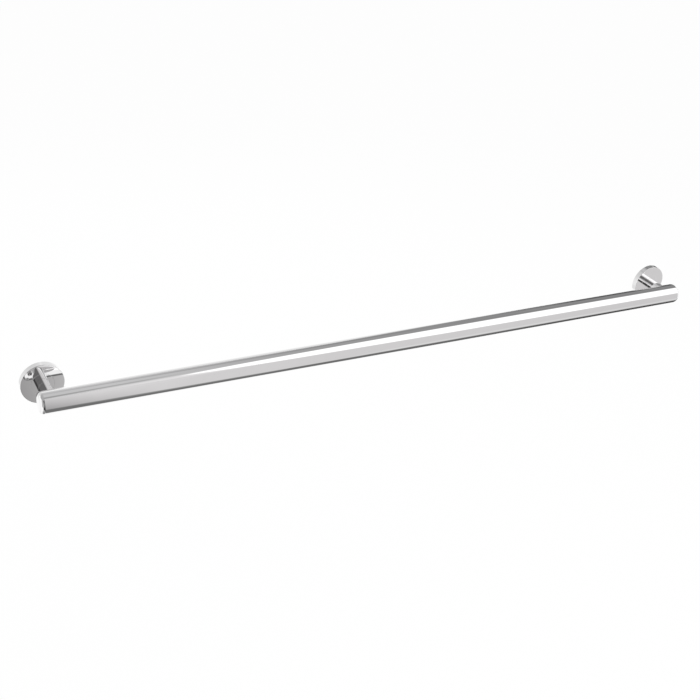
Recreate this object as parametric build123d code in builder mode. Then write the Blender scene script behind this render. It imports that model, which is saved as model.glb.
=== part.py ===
from build123d import *
import os

# Bathroom grab bar: a round tube on two posts. Each post stands on a round flange that hides a wall bracket.
# Millimetres. X runs along the bar, Z is up, the wall is the plane Y = 0 and the bar stands off it towards -Y.
# The origin is on the wall, midway between the posts and level with the bar.

# Bar
bar_diameter = 31.75
tube_wall = 1.5
mount_centres = 1066.8  # from post to post, the bar's nominal length
end_overhang = 17.0  # from a post's axis to the tip of the bar
wall_clearance = 38.1  # hand space between the wall and the bar
spun_radius = 6.0  # rounding where the tube's ends are spun inwards

# End caps
cap_thickness = 3.0
cap_fit = 0.05  # radial, in the opening that the spinning leaves

# Posts
post_diameter = 18.0
cope_gap = 0.05  # between the coped end and the tube
thread_engagement = 13.6
tapping_run_out = 3.0  # tapped depth past the end of the screw

# Flanges
flange_diameter = 60.0
flange_rim = 6.8  # radial thickness of the wall round the pocket
flange_web = 2.4  # between the pocket and the post's seat
flange_edge = 0.5  # chamfer round the face
seat_depth = 0.8
seat_fit = 0.1  # radial, round the foot of the post

# Wall brackets
bracket_thickness = 4.0
bracket_bore = 18.0
pocket_fit = 0.2  # radial, bracket in pocket
pocket_gap = 1.8  # between the bracket's front and the pocket's floor, for the heads of the wall screws
wall_screw_count = 4
wall_screw_hole = 5.5

# Flange screws
screw_diameter = 8.0
screw_hole = 8.6
screw_head_diameter = 13.0
screw_head_gap = 0.8  # between the head and the wall
screw_socket = 5.0  # across the flats
screw_socket_depth = 2.5
thread_fit = 0.05  # radial, in every tapped hole

# Grub screws
grub_diameter = 4.0
grub_socket = 2.0  # across the flats
grub_socket_depth = 2.0
grub_height = 2.9  # from the wall to the screw's axis
grub_recess = 0.2  # below the flange's rim
grub_tip_gap = 0.05  # radial, between the cone point and the bracket's rim

# Sizes that follow
bar_radius = bar_diameter / 2
bore_radius = bar_radius - tube_wall
bar_standoff = wall_clearance + bar_radius
tube_end = mount_centres / 2 + end_overhang
opening_radius = bar_radius - spun_radius
pocket_depth = bracket_thickness + pocket_gap
seat_height = pocket_depth + flange_web
flange_depth = seat_height + seat_depth
flange_radius = flange_diameter / 2
pocket_radius = flange_radius - flange_rim
bracket_radius = pocket_radius - pocket_fit
bracket_back_radius = bracket_radius - bracket_thickness  # the rim leans in at 45 degrees towards the wall
wall_screw_circle_radius = (bracket_back_radius + bracket_bore / 2) / 2
screw_length = flange_web + thread_engagement
screw_head_height = pocket_depth - screw_head_gap
grub_tip_radius = bracket_back_radius + grub_height + grub_tip_gap
grub_length = flange_radius - grub_recess - grub_tip_radius

os.makedirs("parts", exist_ok=True)

# Bar tube: hollow, with both ends spun inwards to a round opening
bar_axis = Axis((0, -bar_standoff, 0), (1, 0, 0))
with BuildPart() as bar_tube:
    with BuildSketch(Plane(origin=(0, -bar_standoff, 0), z_dir=(1, 0, 0))):
        Circle(bar_radius)
    extrude(amount=tube_end, both=True)
    fillet(bar_tube.edges().filter_by(GeomType.CIRCLE), radius=spun_radius)
    # Half section of the hollow: local x is along the bar, local y is the distance from its axis
    with BuildSketch(Plane(origin=(0, -bar_standoff, 0), x_dir=(1, 0, 0), z_dir=(0, -1, 0))):
        with BuildLine():
            Polyline(
                (0, 0),
                (tube_end, 0),
                (tube_end, opening_radius),
                (tube_end - tube_wall, opening_radius),
                (tube_end - spun_radius, bore_radius),
                (0, bore_radius),
            )
            mirror(about=Plane.YZ)
        make_face()
    revolve(axis=bar_axis, mode=Mode.SUBTRACT)
bar_tube.part.label = "bar_tube"
export_step(bar_tube.part, "parts/bar_tube.step")

for side_name, side in (("left", -1), ("right", 1)):
    post_x = side * mount_centres / 2
    # On this plane local x is along the bar, local y is up and local z is the distance from the wall
    wall = Plane(origin=(post_x, 0, 0), x_dir=(1, 0, 0), z_dir=(0, -1, 0))
    post_axis = Axis((post_x, 0, 0), (0, -1, 0))

    # End cap: a disc welded into the opening, flush with the spun end
    with BuildPart() as end_cap:
        with BuildSketch(Plane(origin=(side * tube_end, -bar_standoff, 0), z_dir=(-side, 0, 0))):
            Circle(opening_radius - cap_fit)
        extrude(amount=cap_thickness)
    end_cap.part.label = f"{side_name}_end_cap"
    export_step(end_cap.part, f"parts/{side_name}_end_cap.step")

    # Post: a round bar coped to the back of the tube, with a tapped hole in its foot
    foot = wall.offset(seat_height)
    with BuildPart() as post:
        with BuildSketch(foot):
            Circle(post_diameter / 2)
        extrude(amount=bar_standoff - seat_height)
        with BuildSketch(Plane(origin=(post_x - post_diameter, -bar_standoff, 0), z_dir=(1, 0, 0))):
            Circle(bar_radius + cope_gap)
        extrude(amount=2 * post_diameter, mode=Mode.SUBTRACT)
        with BuildSketch(foot):
            Circle(screw_diameter / 2 + thread_fit)
        extrude(amount=thread_engagement + tapping_run_out, mode=Mode.SUBTRACT)
    post.part.label = f"{side_name}_post"
    export_step(post.part, f"parts/{side_name}_post.step")

    # Flange: a turned disc with a pocket for the bracket, a seat for the post and a tapped hole underneath
    with BuildPart() as flange:
        with BuildSketch(wall):
            Circle(flange_radius)
        extrude(amount=flange_depth)
        chamfer(flange.edges().sort_by(post_axis)[-1], length=flange_edge)
        with BuildSketch(wall):
            Circle(pocket_radius)
        extrude(amount=pocket_depth, mode=Mode.SUBTRACT)
        with BuildSketch(foot):
            Circle(post_diameter / 2 + seat_fit)
        extrude(amount=seat_depth, mode=Mode.SUBTRACT)
        with BuildSketch(wall.offset(pocket_depth)):
            Circle(screw_hole / 2)
        extrude(amount=flange_web, mode=Mode.SUBTRACT)
        with BuildSketch(Plane(origin=(post_x, -grub_height, -flange_radius))):
            Circle(grub_diameter / 2 + thread_fit)
        extrude(amount=flange_rim + grub_diameter / 2, mode=Mode.SUBTRACT)
    flange.part.label = f"{side_name}_flange"
    export_step(flange.part, f"parts/{side_name}_flange.step")

    # Wall bracket: a ring with four screw holes, two of them in a plumb line, and a rim that leans in behind
    with BuildPart() as wall_bracket:
        with BuildSketch(Plane(origin=(post_x, 0, 0), x_dir=(1, 0, 0), z_dir=(0, 0, 1))):
            Polygon(
                (bracket_bore / 2, 0),
                (bracket_back_radius, 0),
                (bracket_radius, -bracket_thickness),
                (bracket_bore / 2, -bracket_thickness),
                align=None,
            )
        revolve(axis=post_axis)
        with BuildSketch(wall):
            with PolarLocations(wall_screw_circle_radius, wall_screw_count):
                Circle(wall_screw_hole / 2)
        extrude(amount=bracket_thickness, mode=Mode.SUBTRACT)
    wall_bracket.part.label = f"{side_name}_wall_bracket"
    export_step(wall_bracket.part, f"parts/{side_name}_wall_bracket.step")

    # Flange screw: a low-head socket screw from the pocket into the post
    with BuildPart() as flange_screw:
        with BuildSketch(wall.offset(pocket_depth)):
            Circle(screw_head_diameter / 2)
        extrude(amount=-screw_head_height)
        with BuildSketch(wall.offset(pocket_depth)):
            Circle(screw_diameter / 2)
        extrude(amount=screw_length)
        with BuildSketch(wall.offset(screw_head_gap)):
            RegularPolygon(radius=screw_socket / 2, side_count=6, major_radius=False)
        extrude(amount=screw_socket_depth, mode=Mode.SUBTRACT)
    flange_screw.part.label = f"{side_name}_flange_screw"
    export_step(flange_screw.part, f"parts/{side_name}_flange_screw.step")

    # Grub screw: its cone point presses on the bracket's leaning rim and draws the flange to the wall
    grub_end = Plane(origin=(post_x, -grub_height, grub_recess - flange_radius))
    with BuildPart() as grub_screw:
        with BuildSketch(grub_end):
            Circle(grub_diameter / 2)
        extrude(amount=grub_length)
        chamfer(grub_screw.edges().sort_by(Axis.Z)[-1], length=grub_diameter / 2)
        with BuildSketch(grub_end):
            RegularPolygon(radius=grub_socket / 2, side_count=6, major_radius=False)
        extrude(amount=grub_socket_depth, mode=Mode.SUBTRACT)
    grub_screw.part.label = f"{side_name}_grub_screw"
    export_step(grub_screw.part, f"parts/{side_name}_grub_screw.step")
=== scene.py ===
import math

import bpy
import numpy as np
from mathutils import Matrix, Vector


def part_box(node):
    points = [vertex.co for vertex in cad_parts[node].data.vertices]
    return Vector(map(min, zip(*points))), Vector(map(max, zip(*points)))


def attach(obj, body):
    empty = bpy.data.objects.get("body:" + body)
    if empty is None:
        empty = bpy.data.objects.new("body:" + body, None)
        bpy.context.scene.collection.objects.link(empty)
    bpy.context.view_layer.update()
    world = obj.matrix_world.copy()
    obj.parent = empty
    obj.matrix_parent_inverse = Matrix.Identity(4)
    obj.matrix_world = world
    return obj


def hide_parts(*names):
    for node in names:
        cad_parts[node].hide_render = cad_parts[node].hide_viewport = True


# Chromed grab bar: a round bar on two posts, each on a round flange that hides its wall bracket.
# Metres. X runs along the bar, Z is up, the wall is the plane Y = 0 and the bar stands off it towards -Y.

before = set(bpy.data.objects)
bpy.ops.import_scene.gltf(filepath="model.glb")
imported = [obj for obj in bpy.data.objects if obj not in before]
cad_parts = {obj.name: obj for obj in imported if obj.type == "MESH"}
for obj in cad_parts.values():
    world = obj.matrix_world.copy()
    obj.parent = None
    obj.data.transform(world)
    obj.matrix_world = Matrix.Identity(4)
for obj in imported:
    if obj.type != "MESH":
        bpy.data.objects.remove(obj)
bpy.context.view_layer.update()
sides = {"left": -1.0, "right": 1.0}
print("frame loaded,", len(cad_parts), "nodes")


# Places that the CAD nodes give
tubeLow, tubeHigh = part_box("bar_tube")
barAxis = (tubeLow + tubeHigh) / 2
barRadius = (tubeHigh.z - tubeLow.z) / 2
tubeHalf = (tubeHigh.x - tubeLow.x) / 2


# Mesh tools

meshShape = {
    "hold": 0.00006,  # distance of the extra points from a corner
    "shortRun": 5,  # runs of fewer holds than this get none
    "smoothAngle": 24.0,  # degrees between two faces, past which their edge is sharp
}


def arc(centre, radius, start, end, steps):
    # centre plus radius times cosine and sine of an angle that runs evenly from start to end, in degrees
    angle = np.radians(np.linspace(start, end, steps + 1))
    return np.stack([centre[0] + radius * np.cos(angle), centre[1] + radius * np.sin(angle)], 1)


def held(profile, closed):
    # each long straight run gets a point close to both of its ends, so that its shading stays flat
    hold = meshShape["hold"]
    ahead = np.roll(profile, -1, 0)
    run = ahead - profile
    length = np.linalg.norm(run, axis=1, keepdims=True)
    step = run / np.maximum(length, 1e-12) * hold
    rows = np.stack([profile, profile + step, ahead - step], 1)
    keep = np.repeat(length > meshShape["shortRun"] * hold, 3, 1)
    keep[:, 0] = True
    if not closed:
        keep[-1, 1:] = False
    return rows[keep]


def lathe(profile, centre, axis, columns):
    # each profile point (radius, distance) is carried round the axis:
    # centre + distance * axis + radius * (cosine * sideways + sine * upwards)
    axis = np.array(axis, float)
    upwards = np.array([0.0, 0.0, 1.0]) if abs(axis[2]) < 0.5 else np.array([0.0, 1.0, 0.0])
    sideways = np.cross(upwards, axis)
    angle = np.linspace(0, 2 * math.pi, columns, endpoint=False)
    spoke = np.cos(angle)[:, None] * sideways + np.sin(angle)[:, None] * upwards
    return np.array(centre, float) + profile[:, None, 1:2] * axis + profile[:, None, 0:1] * spoke[None]


def gridPiece(name, rings, closed=False):
    # rows of points that close on themselves; the first and last row meet, or each closes in a pole
    rowCount, columnCount = rings.shape[:2]
    bands = np.arange(rowCount if closed else rowCount - 1)
    row, column = np.meshgrid(bands, np.arange(columnCount), indexing="ij")
    beside = (column + 1) % columnCount
    here = row * columnCount
    above = (row + 1) % rowCount * columnCount
    quads = np.stack([here + column, here + beside, above + beside, above + column], -1).reshape(-1, 4)
    points = rings.reshape(-1, 3)
    faces = quads.tolist()
    if not closed:
        ring = np.arange(columnCount)
        onward = np.roll(ring, -1)
        last = (rowCount - 1) * columnCount
        pole = len(points)
        points = np.vstack([points, rings[0].mean(0), rings[-1].mean(0)])
        faces += np.stack([onward, ring, np.full(columnCount, pole)], 1).tolist()
        faces += np.stack([last + ring, last + onward, np.full(columnCount, pole + 1)], 1).tolist()
    corners = points[quads]  # the sum of their signed volumes is below 0 if the faces point inwards
    volume = np.einsum("ij,ij->i", corners[:, 0], np.cross(corners[:, 1], corners[:, 2]))
    volume += np.einsum("ij,ij->i", corners[:, 0], np.cross(corners[:, 2], corners[:, 3]))
    mesh = bpy.data.meshes.new(name)
    mesh.from_pydata(points.tolist(), [], faces)
    if volume.sum() < 0:
        mesh.flip_normals()
    mesh.validate()
    shadeSmooth(mesh)
    piece = bpy.data.objects.new(name, mesh)
    bpy.context.scene.collection.objects.link(piece)
    return piece


def shadeSmooth(mesh):
    mesh.shade_smooth()
    mesh.set_sharp_from_angle(angle=math.radians(meshShape["smoothAngle"]))
    mesh.update()


def cutHole(piece, cutter):
    # takes the cutter's volume out of the piece, then the cutter away
    cut = piece.modifiers.new("hole", "BOOLEAN")
    cut.object = cutter
    cut.solver = "EXACT"
    solid = piece.evaluated_get(bpy.context.evaluated_depsgraph_get())
    whole = piece.data
    piece.data = bpy.data.meshes.new_from_object(solid)
    piece.modifiers.clear()
    bpy.data.objects.remove(cutter)
    bpy.data.meshes.remove(whole)
    shadeSmooth(piece.data)


# Shader node groups that the finishes share

def newGroup(name, inputs, outputs):
    group = bpy.data.node_groups.new(name, "ShaderNodeTree")
    for label, kind, value in inputs:
        socket = group.interface.new_socket(name=label, in_out="INPUT", socket_type=kind)
        if value is not None:
            socket.default_value = value
    for label, kind in outputs:
        group.interface.new_socket(name=label, in_out="OUTPUT", socket_type=kind)
    return group, group.nodes.new("NodeGroupInput"), group.nodes.new("NodeGroupOutput")


def addNode(tree, kind, **settings):
    node = tree.nodes.new(kind)
    for key, value in settings.items():
        if key in node.inputs:
            node.inputs[key].default_value = value
        else:
            setattr(node, key, value)
    return node


hazeShape = {
    "scale": 18.0,
    "amount": 0.5,
    "broad": {"Detail": 3.0, "Roughness": 0.55},
    "fine": {"Detail": 5.0, "Roughness": 0.6},
    "finer": 9.0,  # how many times smaller the small clouds are
}


def makeHazeGroup(shape):
    # large soft clouds times small ones: where a polished skin is a little less bright
    inputs = [
        ("Vector", "NodeSocketVector", None),
        ("Scale", "NodeSocketFloat", shape["scale"]),
        ("Amount", "NodeSocketFloat", shape["amount"]),
    ]
    group, source, target = newGroup("polishHaze", inputs, [("Haze", "NodeSocketFloat")])
    broad = addNode(group, "ShaderNodeTexNoise", **shape["broad"])
    fine = addNode(group, "ShaderNodeTexNoise", **shape["fine"])
    finer = addNode(group, "ShaderNodeMath", operation="MULTIPLY")
    finer.inputs[1].default_value = shape["finer"]
    product = addNode(group, "ShaderNodeMath", operation="MULTIPLY")
    scaled = addNode(group, "ShaderNodeMath", operation="MULTIPLY", use_clamp=True)
    link = group.links.new
    link(source.outputs["Vector"], broad.inputs["Vector"])
    link(source.outputs["Vector"], fine.inputs["Vector"])
    link(source.outputs["Scale"], broad.inputs["Scale"])
    link(source.outputs["Scale"], finer.inputs[0])
    link(finer.outputs[0], fine.inputs["Scale"])
    link(broad.outputs[0], product.inputs[0])
    link(fine.outputs[0], product.inputs[1])
    link(product.outputs[0], scaled.inputs[0])
    link(source.outputs["Amount"], scaled.inputs[1])
    link(scaled.outputs[0], target.inputs["Haze"])
    return group


scratchShape = {
    "scale": (30.0, 3000.0, 3000.0),
    "crest": 0.62,  # noise below this is no line
    "crestTop": 0.8,  # noise above this is a full line
    "detail": 2.0,
}


def makeScratchGroup(shape):
    # noise drawn out along one direction, of which only the crests count: hair-fine polishing lines
    inputs = [
        ("Vector", "NodeSocketVector", None),
        ("Scale", "NodeSocketVector", shape["scale"]),
        ("Crest", "NodeSocketFloat", shape["crest"]),
    ]
    group, source, target = newGroup("polishLines", inputs, [("Lines", "NodeSocketFloat")])
    stretch = addNode(group, "ShaderNodeMapping", vector_type="POINT")
    noise = addNode(group, "ShaderNodeTexNoise", Scale=1.0, Detail=shape["detail"])
    crest = addNode(group, "ShaderNodeMapRange", interpolation_type="SMOOTHSTEP")
    crest.inputs["From Max"].default_value = shape["crestTop"]
    link = group.links.new
    link(source.outputs["Vector"], stretch.inputs["Vector"])
    link(source.outputs["Scale"], stretch.inputs["Scale"])
    link(stretch.outputs[0], noise.inputs["Vector"])
    link(noise.outputs[0], crest.inputs["Value"])
    link(source.outputs["Crest"], crest.inputs["From Min"])
    link(crest.outputs[0], target.inputs["Lines"])
    return group


hazeGroup = makeHazeGroup(hazeShape)
scratchGroup = makeScratchGroup(scratchShape)


def newMaterial(name, metallic):
    material = bpy.data.materials.new(name)
    material.use_nodes = True
    tree = material.node_tree
    shader = tree.nodes["Principled BSDF"]
    shader.inputs["Metallic"].default_value = metallic
    return material, tree, shader


def makeMetal(name, look):
    # two colours and two roughnesses mixed by the haze, with polishing lines as a very low bump
    material, tree, shader = newMaterial(name, 1.0)
    link = tree.links.new
    place = addNode(tree, "ShaderNodeTexCoord")
    haze = addNode(tree, "ShaderNodeGroup", node_tree=hazeGroup)
    haze.inputs["Scale"].default_value = look["hazeScale"]
    haze.inputs["Amount"].default_value = look["hazeAmount"]
    lines = addNode(tree, "ShaderNodeGroup", node_tree=scratchGroup)
    lines.inputs["Scale"].default_value = look["lineScale"]
    lines.inputs["Crest"].default_value = look["lineCrest"]
    colour = addNode(tree, "ShaderNodeMix", data_type="RGBA")  # its colours are inputs 6 and 7, output 2
    colour.inputs[6].default_value = look["bright"]
    colour.inputs[7].default_value = look["dull"]
    rough = addNode(tree, "ShaderNodeMapRange")
    rough.inputs["To Min"].default_value = look["smooth"]
    rough.inputs["To Max"].default_value = look["rough"]
    bump = addNode(tree, "ShaderNodeBump", Strength=look["bump"], Distance=look["bumpHeight"])
    link(place.outputs["Object"], haze.inputs["Vector"])
    link(place.outputs["Object"], lines.inputs["Vector"])
    link(haze.outputs["Haze"], colour.inputs["Factor"])
    link(colour.outputs[2], shader.inputs["Base Color"])
    link(haze.outputs["Haze"], rough.inputs["Value"])
    link(rough.outputs[0], shader.inputs["Roughness"])
    link(lines.outputs["Lines"], bump.inputs["Height"])
    link(bump.outputs[0], shader.inputs["Normal"])
    return material


chromeLook = {
    "bright": (0.947, 0.944, 0.946, 1.0),
    "dull": (0.888, 0.884, 0.887, 1.0),
    "smooth": 0.015,
    "rough": 0.07,
    "hazeScale": 14.0,
    "hazeAmount": 1.0,
    "lineScale": (25.0, 900.0, 900.0),
    "lineCrest": 0.6,
    "bump": 0.02,
    "bumpHeight": 0.00002,
}
zincLook = {
    "bright": (0.66, 0.68, 0.70, 1.0),
    "dull": (0.50, 0.50, 0.46, 1.0),
    "smooth": 0.24,
    "rough": 0.46,
    "hazeScale": 55.0,
    "hazeAmount": 2.4,
    "lineScale": (900.0, 900.0, 120.0),
    "lineCrest": 0.5,
    "bump": 0.25,
    "bumpHeight": 0.00006,
}
screwLook = {
    "bright": (0.55, 0.56, 0.57, 1.0),
    "dull": (0.38, 0.38, 0.38, 1.0),
    "smooth": 0.2,
    "rough": 0.42,
    "hazeScale": 120.0,
    "hazeAmount": 2.2,
    "lineScale": (1800.0, 300.0, 1800.0),
    "lineCrest": 0.5,
    "bump": 0.2,
    "bumpHeight": 0.00004,
}
chrome = makeMetal("polishedChrome", chromeLook)
zinc = makeMetal("zincPlate", zincLook)
screwSteel = makeMetal("screwSteel", screwLook)
print("finishes made")


def finishPiece(piece, node, material):
    piece.data.materials.clear()
    piece.data.materials.append(material)
    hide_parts(node)
    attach(piece, "root")


# Bar tube

tubeShape = {
    "wall": 0.0015,
    "spunRadius": 0.006,  # rounding of both ends
    "spunSteps": 36,
    "columns": 240,
    "runs": 24,  # rings along the outside
}


def buildBarTube(shape):
    # the tube's wall carried round the bar's axis: straight outside, a quarter round at each end,
    # and inside a straight bore that closes in to the opening
    bore = barRadius - shape["wall"]
    opening = barRadius - shape["spunRadius"]
    straight = tubeHalf - shape["spunRadius"]
    inner = tubeHalf - shape["wall"]
    along = np.linspace(-straight, straight, shape["runs"] + 1)[1:-1]
    profile = np.vstack([
        arc((opening, -straight), shape["spunRadius"], -90, 0, shape["spunSteps"]),
        np.stack([np.full_like(along, barRadius), along], 1),
        arc((opening, straight), shape["spunRadius"], 0, 90, shape["spunSteps"]),
        [(opening, inner), (bore, straight), (bore, -straight), (opening, -inner)],
    ])
    rings = lathe(held(profile, True), barAxis, (1, 0, 0), shape["columns"])
    return gridPiece("barTube", rings, closed=True)


finishPiece(buildBarTube(tubeShape), "bar_tube", chrome)


# End caps

capShape = {
    "weldFit": 0.00005,  # the polished weld fills the fit round the disc
    "middleShare": 0.3,  # share of the radius that the pole's fan covers
    "columns": 240,
}


def buildEndCap(name, side, shape):
    # half section of a disc: from the middle of its face, over the edge, to the middle of its back
    low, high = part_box(f"{name}_end_cap")
    radius = (high.z - low.z) / 2 + shape["weldFit"]
    back = tubeHalf - (high.x - low.x)
    middle = shape["middleShare"] * radius
    profile = np.array([(middle, tubeHalf), (radius, tubeHalf), (radius, back), (middle, back)])
    rings = lathe(held(profile, False), (0, barAxis.y, barAxis.z), (side, 0, 0), shape["columns"])
    return gridPiece(f"{name}EndCap", rings)


for name, side in sides.items():
    finishPiece(buildEndCap(name, side, capShape), f"{name}_end_cap", chrome)


# Posts

postShape = {
    "tapRadius": 0.00405,
    "tapDepth": 0.0166,
    "tapMiddle": 0.5,  # share of the tapped hole's radius that the pole's fan covers
    "footRun": 0.0003,  # straight start of the wall
    "copeGap": 0.00005,
    "copeRings": 6,
    "copeOuter": 0.995,  # outermost and innermost ring of the cope, as shares of the radius
    "copeInner": 0.2,
    "columns": 192,
}


def buildPost(name, shape):
    # a straight round wall whose far end follows the bar:
    # distance from the wall = standoff - square root of (bar radius squared - height squared)
    low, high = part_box(f"{name}_post")
    radius = (high.x - low.x) / 2
    centre = (low + high) / 2
    foot = -high.y
    standoff = -barAxis.y
    flat = np.array([
        (shape["tapMiddle"] * shape["tapRadius"], foot + shape["tapDepth"]),
        (shape["tapRadius"], foot + shape["tapDepth"]),
        (shape["tapRadius"], foot),
        (radius, foot),
        (radius, foot + shape["footRun"]),
    ])
    base = lathe(held(flat, False), (centre.x, 0, 0), (0, -1, 0), shape["columns"])
    inwards = np.linspace(shape["copeOuter"], shape["copeInner"], shape["copeRings"])
    shares = np.concatenate([[1.0], inwards])
    spread = np.stack([radius * shares, np.zeros_like(shares)], 1)
    crown = lathe(spread, (centre.x, 0, 0), (0, -1, 0), shape["columns"])
    touch = barRadius + shape["copeGap"]
    crown[..., 1] = np.sqrt(touch**2 - (crown[..., 2] - barAxis.z) ** 2) - standoff
    return gridPiece(f"{name}Post", np.vstack([base, crown]))


for name in sides:
    finishPiece(buildPost(name, postShape), f"{name}_post", chrome)


# Flanges

flangeShape = {
    "edgeRadius": 0.0005,
    "edgeSteps": 6,
    "ringRadius": 0.016,  # hair-fine turned line on the face
    "ringWidth": 0.0004,
    "ringDepth": 0.00005,
    "seatRadius": 0.0091,
    "seatDepth": 0.0008,
    "holeRadius": 0.0043,
    "pocketRadius": 0.0232,
    "pocketDepth": 0.0058,
    "grubRadius": 0.00205,
    "grubColumns": 48,
    "cutterReach": 0.002,  # the cutter starts this far below the rim
    "columns": 288,
}


def buildFlange(name, shape):
    # a ring section: rim, rounded edge, face, seat of the post, screw hole and the pocket behind
    low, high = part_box(f"{name}_flange")
    radius = (high.x - low.x) / 2
    depth = high.y - low.y
    edge = shape["edgeRadius"]
    rounding = arc((radius - edge, depth - edge), edge, 0, 90, shape["edgeSteps"])
    profile = np.vstack([
        [(radius, 0)],
        rounding,
        [
            (shape["ringRadius"] + shape["ringWidth"] / 2, depth),
            (shape["ringRadius"], depth - shape["ringDepth"]),
            (shape["ringRadius"] - shape["ringWidth"] / 2, depth),
            (shape["seatRadius"], depth),
            (shape["seatRadius"], depth - shape["seatDepth"]),
            (shape["holeRadius"], depth - shape["seatDepth"]),
            (shape["holeRadius"], shape["pocketDepth"]),
            (shape["pocketRadius"], shape["pocketDepth"]),
            (shape["pocketRadius"], 0),
        ],
    ])
    centre = ((low.x + high.x) / 2, high.y, (low.z + high.z) / 2)
    rings = lathe(held(profile, True), centre, (0, -1, 0), shape["columns"])
    piece = gridPiece(f"{name}Flange", rings, closed=True)
    grubLow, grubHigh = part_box(f"{name}_grub_screw")
    grubMiddle = (grubLow + grubHigh) / 2
    bore = np.array([
        (shape["grubRadius"], low.z - shape["cutterReach"]),
        (shape["grubRadius"], grubHigh.z),
    ])
    boreRings = lathe(bore, (grubMiddle.x, grubMiddle.y, 0), (0, 0, 1), shape["grubColumns"])
    cutHole(piece, gridPiece("grubCutter", boreRings))
    return piece


for name in sides:
    finishPiece(buildFlange(name, flangeShape), f"{name}_flange", chrome)


# Fixings, as the CAD model has them

fixingFinishes = {"wall_bracket": zinc, "flange_screw": screwSteel, "grub_screw": screwSteel}

for name in sides:
    for node, material in fixingFinishes.items():
        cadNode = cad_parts[f"{name}_{node}"]
        cadNode.data.materials.clear()
        cadNode.data.materials.append(material)
print("pieces built")


# Stage: floor, white surroundings and the cards that a polished bar mirrors

stageShape = {
    "floorDrop": 0.86,  # the height that such a bar is hung at
    "floorSize": 40.0,
    "floorColour": (0.9, 0.9, 0.9, 1.0),
    "floorRoughness": 0.8,
    "floorWhite": 0.97,  # share of the floor's look that is plain white, the rest keeps the shadow
    "worldLight": 0.45,
    "worldSeen": 1.0,
    "cardAngles": 40,
    "cardRows": 24,
}
plainWhite = (1.0, 1.0, 1.0)
warmWhite = (1.0, 0.986, 0.991)
coolWhite = (0.995, 0.993, 1.0)
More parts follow.
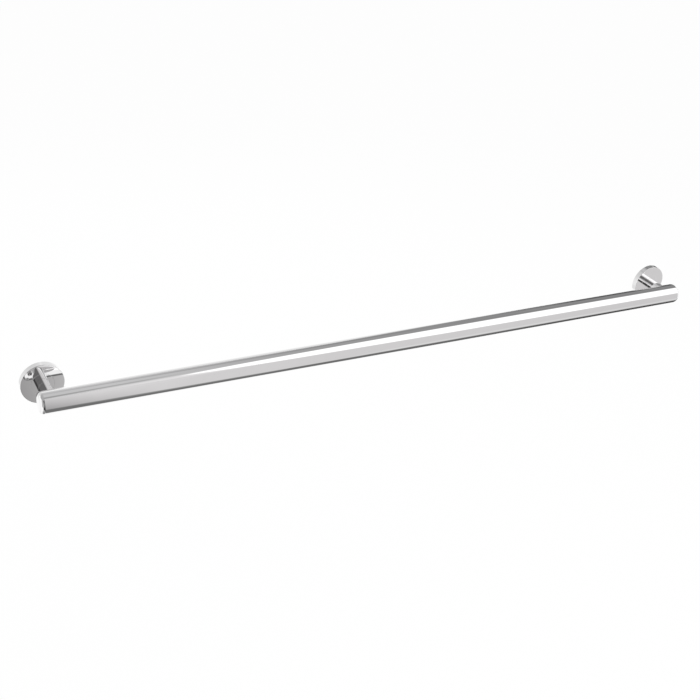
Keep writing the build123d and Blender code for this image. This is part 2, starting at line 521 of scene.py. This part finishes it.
# Each card is part of a wide tube round the bar. Its stations are (place along X in metres,
# lower edge, upper edge, tone at the lower edge, tone at the upper edge).
# Edges are degrees up from straight in front, and a tone of 1 is white.
# The cards glow and only mirrors see them: their tones are painted light and shade of the studio round the
# bar, which the polished bar reflects.
studioCards = {
    "softbox": {  # long white light above the front
        "radius": 3.0, "softEdge": 8.0, "softEnd": 0.12, "tint": plainWhite,
        "stations": [
            (0.54, 56.5, 67.5, 1.2, 1.2), (0.7, 48.8, 75.2, 1.2, 1.2), (0.82, 41, 81.2, 1.2, 1.2),
            (0.92, 38, 84.2, 1.2, 1.2), (1.1, 33.5, 88.8, 1.2, 1.2), (1.4, 29, 93.8, 1.2, 1.2),
            (1.9, 22, 98.0, 1.2, 1.2), (2.2, 21, 99.5, 1.2, 1.2), (2.7, 19.5, 99.5, 1.2, 1.2),
            (3.0, 18.5, 98.6, 1.2, 1.2), (6.0, 16, 99.6, 1.2, 1.2),
        ],
    },
    "tipGlow": {  # its dimmer end on the left
        "radius": 3.02, "softEdge": 10.0, "softEnd": 0.2, "tint": warmWhite,
        "stations": [
            (0.1, 44, 70, 0.70, 0.66), (0.28, 43, 70, 0.73, 0.70), (0.42, 40, 71.5, 0.79, 0.76),
            (0.56, 37, 72.5, 0.785, 0.77), (0.7, 36, 75, 0.79, 0.78), (0.95, 33, 78, 0.79, 0.78),
        ],
    },
    "rail": {  # grey band over that end
        "radius": 3.05, "softEdge": 5.0, "softEnd": 0.3, "tint": plainWhite,
        "stations": [
            (-1.0, 63, 82, 0.34, 0.34), (0.0, 63, 82, 0.33, 0.33), (0.3, 70, 87, 0.42, 0.42),
            (0.7, 76, 92, 0.45, 0.45),
        ],
    },
    "groundShade": {  # dark ground below the bar
        "radius": 3.1, "softEdge": 8.0, "softEnd": 0.3, "tint": plainWhite,
        "stations": [
            (-2.95, -50, -10, 0.05, 0.05), (-2.6, -54, -10, 0.05, 0.05), (-1.6, -53, -14, 0.05, 0.05),
            (-1.3, -52, -15, 0.05, 0.05), (-0.9, -55, -16, 0.05, 0.05), (-0.6, -60, -22, 0.06, 0.06),
            (-0.3, -75, -31, 0.08, 0.08), (0.0, -102, -40, 0.165, 0.165), (0.5, -106.5, -53, 0.165, 0.165),
            (1.0, -112.5, -60, 0.16, 0.16), (1.6, -129, -66, 0.15, 0.15), (2.2, -163, -70.3, 0.08, 0.15),
            (2.7, -186, -72, 0.0, 0.10), (6.0, -190, -74, 0.0, 0.09),
        ],
    },
    "groundEdge": {  # paler ground where it meets the front
        "radius": 3.08, "softEdge": 8.0, "softEnd": 0.25, "tint": plainWhite,
        "stations": [
            (-0.05, -70, -42, 0.10, 0.25), (0.16, -72, -42, 0.10, 0.275), (0.38, -80, -46, 0.09, 0.385),
            (0.6, -84, -52, 0.06, 0.42), (0.82, -85, -55, 0.05, 0.40), (1.2, -90, -62, 0.06, 0.38),
        ],
    },
    "ceilingSeam": {  # darker line that climbs across the ceiling
        "radius": 3.15, "softEdge": 4.5, "softEnd": 0.3, "tint": coolWhite,
        "stations": [
            (-0.3, 111, 124, 0.49, 0.49), (0.0, 110.5, 124, 0.485, 0.485), (0.3, 110.5, 125, 0.445, 0.445),
            (0.56, 110.5, 126, 0.40, 0.40), (0.83, 112, 128, 0.365, 0.365), (1.1, 116, 131, 0.31, 0.31),
            (1.37, 122, 138, 0.255, 0.255), (1.6, 126.5, 142, 0.245, 0.245), (2.0, 132, 147, 0.265, 0.265),
        ],
    },
    "ceilingSlot": {  # dark edge over the white light
        "radius": 3.16, "softEdge": 5.0, "softEnd": 0.3, "tint": coolWhite,
        "stations": [
            (2.0, 109, 122, 0.245, 0.245), (2.6, 109, 122, 0.232, 0.232), (6.0, 108, 122, 0.22, 0.22),
        ],
    },
    "ceilingLine": {  # even grey on the right of the ceiling
        "radius": 3.17, "softEdge": 5.0, "softEnd": 0.3, "tint": coolWhite,
        "stations": [
            (1.9, 122, 140, 0.27, 0.27), (2.3, 122, 141, 0.285, 0.285), (2.6, 122, 143, 0.30, 0.30),
            (2.9, 122, 150, 0.30, 0.23), (6.0, 122, 150, 0.30, 0.23),
        ],
    },
    "rimGlow": {  # pale patch for the upper rim of the right flange
        "radius": 3.18, "softEdge": 5.0, "softEnd": 0.1, "tint": plainWhite,
        "stations": [
            (3.5, 146, 192, 0.42, 0.40), (4.0, 148, 192, 0.42, 0.44), (4.7, 150, 194, 0.42, 0.46),
        ],
    },
    "ceiling": {  # grey above and behind
        "radius": 3.2, "softEdge": 8.0, "softEnd": 0.6, "tint": coolWhite,
        "stations": [
            (-6.0, 46, 132, 0.40, 0.40), (-1.8, 46, 132, 0.40, 0.43), (-1.2, 48, 134, 0.42, 0.46),
            (-0.5, 55, 139, 0.46, 0.46), (0.0, 55, 143, 0.55, 0.55), (0.3, 56, 145, 0.62, 0.56),
            (0.6, 57, 145.5, 0.59, 0.50), (0.83, 58, 145.5, 0.52, 0.44), (1.1, 59, 147, 0.43, 0.37),
            (1.37, 60, 150.5, 0.36, 0.345), (1.64, 60, 160.3, 0.32, 0.32), (1.9, 60, 173, 0.31, 0.29),
            (2.17, 60, 184, 0.30, 0.26), (2.44, 60, 196, 0.31, 0.21), (2.7, 60, 220, 0.33, 0.12),
            (2.9, 60, 220, 0.36, 0.0), (6.0, 60, 220, 0.36, 0.0),
        ],
    },
    "kicker": {  # pale strip low on the right
        "radius": 3.25, "softEdge": 8.0, "softEnd": 0.4, "tint": plainWhite,
        "stations": [(1.4, -66, -42, 0.73, 0.73), (6.0, -68, -44, 0.73, 0.73)],
    },
    "endGlow": {  # dim glow on the dark part of the front wall
        "radius": 3.28, "softEdge": 5.0, "softEnd": 0.25, "tint": plainWhite,
        "stations": [
            (-1.95, -14, 6, 0.3, 0.3), (-1.5, -22, 14, 0.3, 0.3), (-1.2, -4, 26, 0.3, 0.32),
            (-0.8, 4, 31, 0.3, 0.34), (-0.3, 4, 30, 0.3, 0.34),
        ],
    },
    "frontWall": {  # wall behind the camera, dark in its left part
        "radius": 3.3, "softEdge": 4.0, "softEnd": 0.3, "tint": warmWhite,
        "stations": [
            (-9.0, -38, 62, 0.36, 0.36), (-4.0, -38, 62, 0.45, 0.45), (-3.4, -38, 62, 0.8, 0.8),
            (-3.08, -38, 62, 0.8, 0.8), (-2.95, -38, 62, 0.14, 0.14), (-0.45, -38, 62, 0.14, 0.14),
            (-0.2, -60, 62, 0.16, 0.55), (0.0, -90, 62, 0.185, 0.59), (0.3, -90, 62, 0.455, 0.745),
            (0.565, -90, 62, 0.66, 0.71), (0.83, -90, 62, 0.675, 0.675), (1.1, -90, 62, 0.675, 0.675),
            (1.4, -90, 62, 0.66, 0.66), (2.5, -90, 62, 0.655, 0.655), (3.2, -90, 62, 0.635, 0.635),
            (6.0, -90, 62, 0.63, 0.63),
        ],
    },
    "lowLeft": {  # grey low on the left
        "radius": 3.4, "softEdge": 6.0, "softEnd": 0.3, "tint": plainWhite,
        "stations": [
            (-2.95, -92, -30, 0.7, 0.5), (-2.2, -98, -30, 0.5, 0.42), (-1.7, -110, -30, 0.24, 0.42),
            (-1.0, -116, -30, 0.18, 0.40), (-0.1, -108, -50, 0.22, 0.4),
        ],
    },
    "rimShade": {  # light grey for the rim of the left flange
        "radius": 3.38, "softEdge": 3.0, "softEnd": 0.2, "tint": plainWhite,
        "stations": [
            (-1.9, 209, 224, 0.8, 0.8), (-1.6, 212, 224, 0.8, 0.8), (-1.36, 215.5, 226, 0.8, 0.8),
            (-1.0, 219, 229, 0.8, 0.8), (-0.68, 221, 232, 0.8, 0.8), (-0.2, 222, 234, 0.8, 0.8),
        ],
    },
    "backLeft": {  # bright wall behind on the left
        "radius": 3.4, "softEdge": 6.0, "softEnd": 0.3, "tint": plainWhite,
        "stations": [
            (-4.0, 126, 224, 0.64, 1.02), (-1.8, 126, 224, 0.61, 0.86), (-1.45, 128, 204, 0.61, 0.86),
            (-0.9, 129, 204, 0.60, 0.96), (-0.15, 134, 205, 0.64, 1.35), (0.0, 136, 206, 0.74, 1.5),
            (0.35, 138.5, 208, 0.70, 1.25), (1.1, 141, 212, 0.71, 1.08), (1.7, 150, 213, 0.70, 1.12),
            (2.4, 180, 214, 0.65, 1.1),
        ],
    },
}


def cardMaterial(name, card):
    # a plain glow that thins out to nothing at the card's edges
    material = bpy.data.materials.new(name)
    material.use_nodes = True
    tree = material.node_tree
    tree.nodes.remove(tree.nodes["Principled BSDF"])
    link = tree.links.new
    tone = addNode(tree, "ShaderNodeAttribute", attribute_name="tone")
    glow = addNode(tree, "ShaderNodeEmission", Color=(*card["tint"], 1.0))
    clear = addNode(tree, "ShaderNodeBsdfTransparent")
    mask = addNode(tree, "ShaderNodeMath", operation="MULTIPLY")
    mix = addNode(tree, "ShaderNodeMixShader")
    for socket, (attribute, soft) in enumerate((("edge", card["softEdge"]), ("end", card["softEnd"]))):
        inside = addNode(tree, "ShaderNodeAttribute", attribute_name=attribute)
        fade = addNode(tree, "ShaderNodeMapRange", interpolation_type="SMOOTHSTEP")
        fade.inputs["From Max"].default_value = soft
        link(inside.outputs["Fac"], fade.inputs["Value"])
        link(fade.outputs[0], mask.inputs[socket])
    link(tone.outputs["Fac"], glow.inputs["Strength"])
    link(mask.outputs[0], mix.inputs["Fac"])
    link(clear.outputs[0], mix.inputs[1])
    link(glow.outputs[0], mix.inputs[2])
    link(mix.outputs[0], tree.nodes["Material Output"].inputs["Surface"])
    return material


def buildCard(name, card):
    # grid of X by angle on a tube round the bar: y = -radius * cosine, z = radius * sine of the angle
    stations = np.array(card["stations"], float)
    even = np.linspace(stations[0, 0], stations[-1, 0], stageShape["cardRows"])
    along = np.unique(np.concatenate([stations[:, 0], even]))
    low, high, lowTone, highTone = (
        np.interp(along, stations[:, 0], values)[:, None] for values in stations[:, 1:].T
    )
    share = np.linspace(0, 1, stageShape["cardAngles"] + 1)[None, :]
    angle = np.radians(low + (high - low) * share)
    tone = lowTone + (highTone - lowTone) * share
    x = np.broadcast_to(along[:, None], angle.shape)
    radius = card["radius"]
    points = np.stack([x, barAxis.y - radius * np.cos(angle), barAxis.z + radius * np.sin(angle)], -1)
    columns = share.size
    corner = (np.arange(len(along) - 1)[:, None] * columns + np.arange(columns - 1)).reshape(-1, 1)
    quads = corner + np.array([0, 1, columns + 1, columns])
    mesh = bpy.data.meshes.new(name)
    mesh.from_pydata(points.reshape(-1, 3).tolist(), [], quads.tolist())
    inset = (high - low) * np.minimum(share, 1 - share)
    ends = np.minimum(x - along[0], along[-1] - x)
    for attribute, values in (("tone", tone), ("edge", inset), ("end", ends)):
        layer = mesh.attributes.new(attribute, "FLOAT", "POINT")
        layer.data.foreach_set("value", values.astype(np.float32).ravel())
    mesh.materials.append(cardMaterial(name, card))
    mesh.shade_smooth()
    obj = bpy.data.objects.new(name, mesh)
    bpy.context.scene.collection.objects.link(obj)
    obj.visible_camera = False
    obj.visible_diffuse = False
    obj.visible_transmission = False
    obj.visible_shadow = False


for name, card in studioCards.items():
    buildCard(name, card)


def whiteRay(tree):
    # 1 for a ray from the camera, or mirrored or bent on its way from it
    rays = addNode(tree, "ShaderNodeLightPath")
    seen = addNode(tree, "ShaderNodeMath", operation="MAXIMUM")
    either = addNode(tree, "ShaderNodeMath", operation="MAXIMUM")
    tree.links.new(rays.outputs["Is Camera Ray"], seen.inputs[0])
    tree.links.new(rays.outputs["Is Glossy Ray"], seen.inputs[1])
    tree.links.new(seen.outputs[0], either.inputs[0])
    tree.links.new(rays.outputs["Is Transmission Ray"], either.inputs[1])
    return either.outputs[0]


def buildFloor():
    half = stageShape["floorSize"] / 2
    low = -stageShape["floorDrop"]
    mesh = bpy.data.meshes.new("floor")
    corners = [(-half, -half, low), (half, -half, low), (half, half, low), (-half, half, low)]
    mesh.from_pydata(corners, [], [(0, 1, 2, 3)])
    material, tree, shader = newMaterial("paleFloor", 0.0)
    link = tree.links.new
    shader.inputs["Base Color"].default_value = stageShape["floorColour"]
    shader.inputs["Roughness"].default_value = stageShape["floorRoughness"]
    glow = addNode(tree, "ShaderNodeEmission", Strength=1.0)
    clear = addNode(tree, "ShaderNodeBsdfTransparent")
    geometry = addNode(tree, "ShaderNodeNewGeometry")
    part = addNode(tree, "ShaderNodeMath", operation="MULTIPLY")
    part.inputs[1].default_value = stageShape["floorWhite"]
    lit = addNode(tree, "ShaderNodeMixShader")
    oneSided = addNode(tree, "ShaderNodeMixShader")
    link(whiteRay(tree), part.inputs[0])
    link(part.outputs[0], lit.inputs["Fac"])
    link(shader.outputs[0], lit.inputs[1])
    link(glow.outputs[0], lit.inputs[2])
    link(geometry.outputs["Backfacing"], oneSided.inputs["Fac"])
    link(lit.outputs[0], oneSided.inputs[1])
    link(clear.outputs[0], oneSided.inputs[2])
    link(oneSided.outputs[0], tree.nodes["Material Output"].inputs["Surface"])
    mesh.materials.append(material)
    floor = bpy.data.objects.new("floor", mesh)
    bpy.context.scene.collection.objects.link(floor)
    floor.visible_glossy = False  # mirrors show the cards and the white surroundings instead


def buildWorld():
    world = bpy.data.worlds.new("studio")
    bpy.context.scene.world = world
    world.use_nodes = True
    tree = world.node_tree
    background = tree.nodes["Background"]
    strength = addNode(tree, "ShaderNodeMapRange")
    strength.inputs["To Min"].default_value = stageShape["worldLight"]
    strength.inputs["To Max"].default_value = stageShape["worldSeen"]
    tree.links.new(whiteRay(tree), strength.inputs["Value"])
    tree.links.new(strength.outputs[0], background.inputs["Strength"])
    background.inputs["Color"].default_value = (1.0, 1.0, 1.0, 1.0)


lampPlan = {
    "keyLamp": {"place": (1.2, -1.6, 2.2), "size": 2.0, "power": 60.0},
    "fillLamp": {"place": (-2.0, -2.2, 0.8), "size": 1.6, "power": 20.0},
    "backLamp": {"place": (0.4, 2.4, 1.2), "size": 2.0, "power": 30.0},
}


def buildLamp(name, plan):
    lamp = bpy.data.lights.new(name, "AREA")
    lamp.size = plan["size"]
    lamp.energy = plan["power"]
    obj = bpy.data.objects.new(name, lamp)
    place = Vector(plan["place"])
    obj.location = place
    obj.rotation_euler = (barAxis - place).to_track_quat("-Z", "Y").to_euler()
    obj.visible_glossy = False
    bpy.context.scene.collection.objects.link(obj)


buildFloor()
buildWorld()
for name, plan in lampPlan.items():
    buildLamp(name, plan)
print("stage set")


# Camera at the photograph's angle

photoCamera = {
    "turn": -30.319,  # degrees round the bar from straight in front
    "tilt": 29.696,  # degrees above it
    "roll": 6.254,
    "place": (-0.8290, -1.3236, 0.8374),
    "lens": 58.15,
    "sensor": 36.0,
}


def buildCamera(plan):
    turn, tilt, roll = (math.radians(plan[key]) for key in ("turn", "tilt", "roll"))
    back = Vector((math.sin(turn) * math.cos(tilt), -math.cos(turn) * math.cos(tilt), math.sin(tilt)))
    level = Vector((0, 0, 1)).cross(back).normalized()
    upright = back.cross(level)
    across = math.cos(roll) * level + math.sin(roll) * upright
    up = back.cross(across)
    camera = bpy.data.cameras.new("photoCamera")
    camera.lens = plan["lens"]
    camera.sensor_width = plan["sensor"]
    obj = bpy.data.objects.new("photoCamera", camera)
    turned = Matrix((across, up, back)).transposed().to_4x4()
    obj.matrix_world = Matrix.Translation(plan["place"]) @ turned
    bpy.context.scene.collection.objects.link(obj)
    bpy.context.scene.camera = obj


buildCamera(photoCamera)
bpy.context.scene.view_settings.view_transform = "Standard"
print("camera set")
